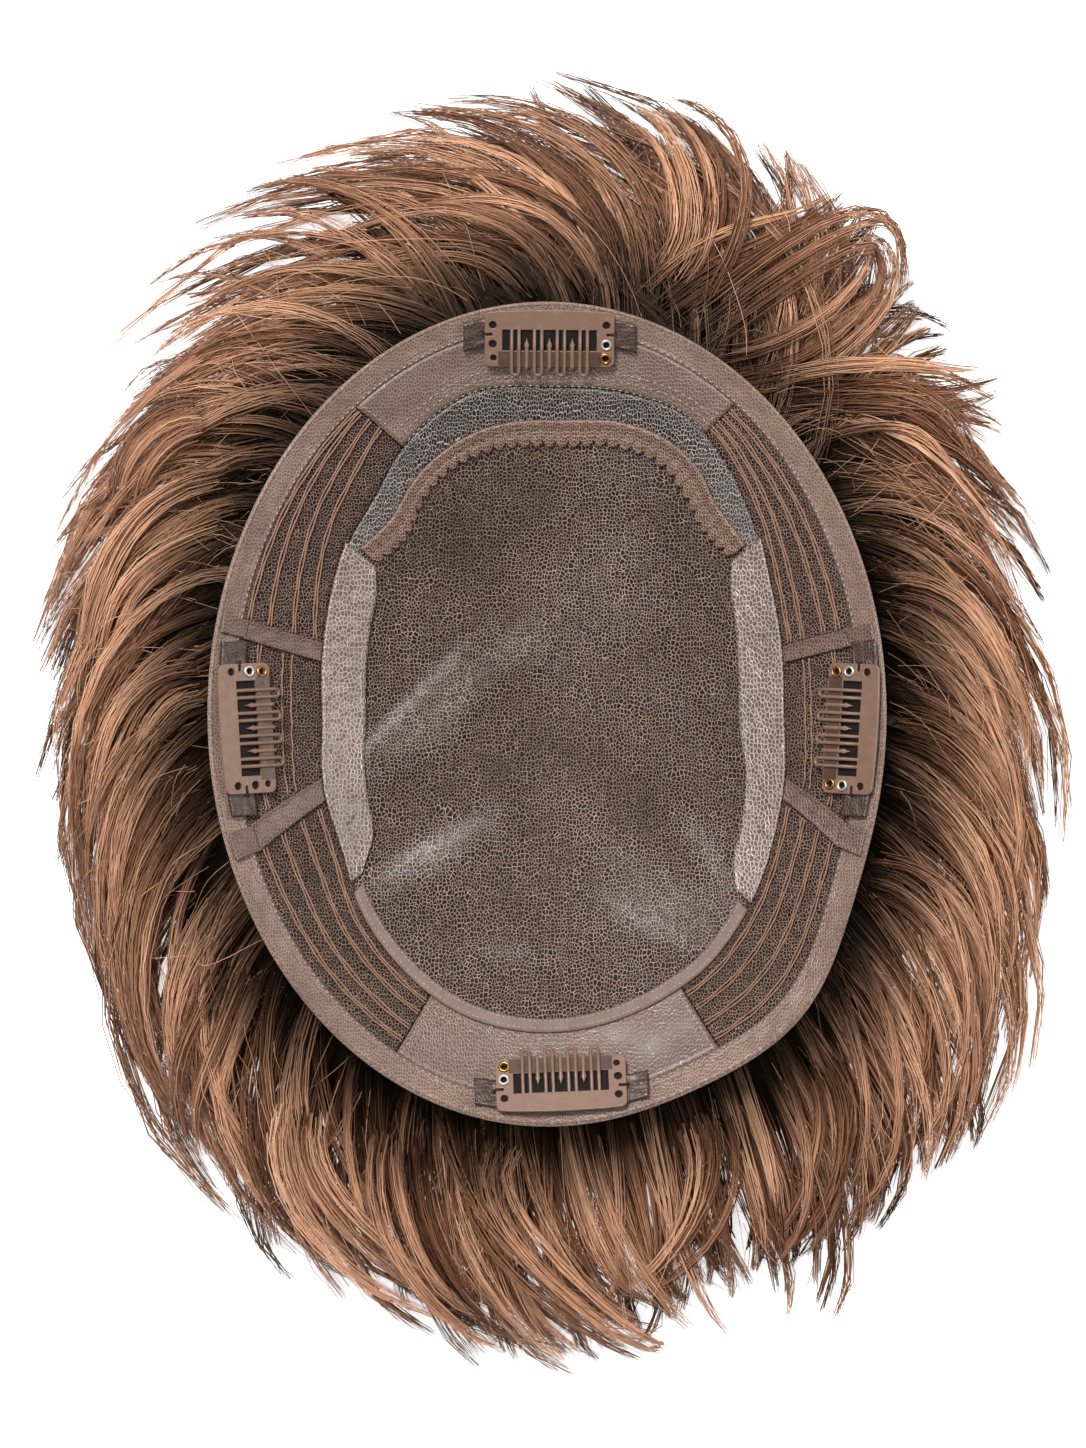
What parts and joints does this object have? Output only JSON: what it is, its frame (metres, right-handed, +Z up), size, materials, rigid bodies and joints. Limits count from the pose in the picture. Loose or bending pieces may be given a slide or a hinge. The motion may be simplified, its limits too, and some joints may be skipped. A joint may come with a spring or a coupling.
{
  "type": "toupee hairpiece",
  "caption": "Toupee lying on its hair: an oval net and lace base with bindings, stretch panels, snap comb clips and swept pointed locks all round.",
  "frame": {"origin": "on the resting plane, below the middle of the whole piece", "axes": "+Z up out of the open bowl of the base, +Y to the front of the base with the scalloped ribbon, +X to the right seen from above"},
  "size_m": [0.2534, 0.3064, 0.0543],
  "materials": {
    "net": "fine brown monofilament net",
    "lace": "glossy fine lace mesh, grey brown",
    "smooth_patch": "thin coated fabric, smooth and slightly glossy",
    "stretch_net": "dark brown stretch net",
    "edge_tape": "clear coated binding tape",
    "ribbon": "woven ribbon with a scalloped edge",
    "inner_band": "light translucent coated tape",
    "strap": "flat sewn tape",
    "rib": "corded sewn rib",
    "clip_tape": "dark woven tape",
    "coated_steel": "brown coated spring steel, satin",
    "steel": "bright steel",
    "brass": "dull brass",
    "hair": "medium brown hair with lighter strands"
  },
  "bodies": {
    "root": {"centre_panel": "net", "front_lace": "lace", "front_tab": "smooth_patch", "back_tab": "smooth_patch", "stretch_front_left": "stretch_net", "stretch_side_left": "stretch_net", "stretch_back_left": "stretch_net", "stretch_back_right": "stretch_net", "stretch_side_right": "stretch_net", "stretch_front_right": "stretch_net", "edge_band": "edge_tape", "scalloped_ribbon": "ribbon", "inner_band_left": "inner_band", "inner_band_right": "inner_band", "back_ribbon": "ribbon", "strap_front_left": "strap", "strap_front_right": "strap", "strap_back_left": "strap", "strap_back_right": "strap", "rib_front_left_1": "rib", "rib_front_left_2": "rib", "rib_front_left_3": "rib", "rib_side_left_1": "rib", "rib_back_left_1": "rib", "rib_back_left_2": "rib", "rib_back_left_3": "rib", "rib_back_right_1": "rib", "rib_back_right_2": "rib", "rib_back_right_3": "rib", "rib_side_right_1": "rib", "rib_front_right_1": "rib", "rib_front_right_2": "rib", "rib_front_right_3": "rib", "clip_tape_front": "clip_tape", "clip_tape_left": "clip_tape", "clip_tape_back": "clip_tape", "clip_tape_right": "clip_tape", "clip_front": "coated_steel", "clip_left": "coated_steel", "clip_back": "coated_steel", "clip_right": "coated_steel", "eyelet_front_1": "steel", "eyelet_front_2": "brass", "eyelet_left_1": "steel", "eyelet_left_2": "brass", "eyelet_back_1": "brass", "eyelet_back_2": "steel", "eyelet_right_1": "brass", "eyelet_right_2": "steel", "eyelet_right_3": "brass", "eyelet_right_4": "steel", "hair": "hair"}
  },
  "joints": []
}
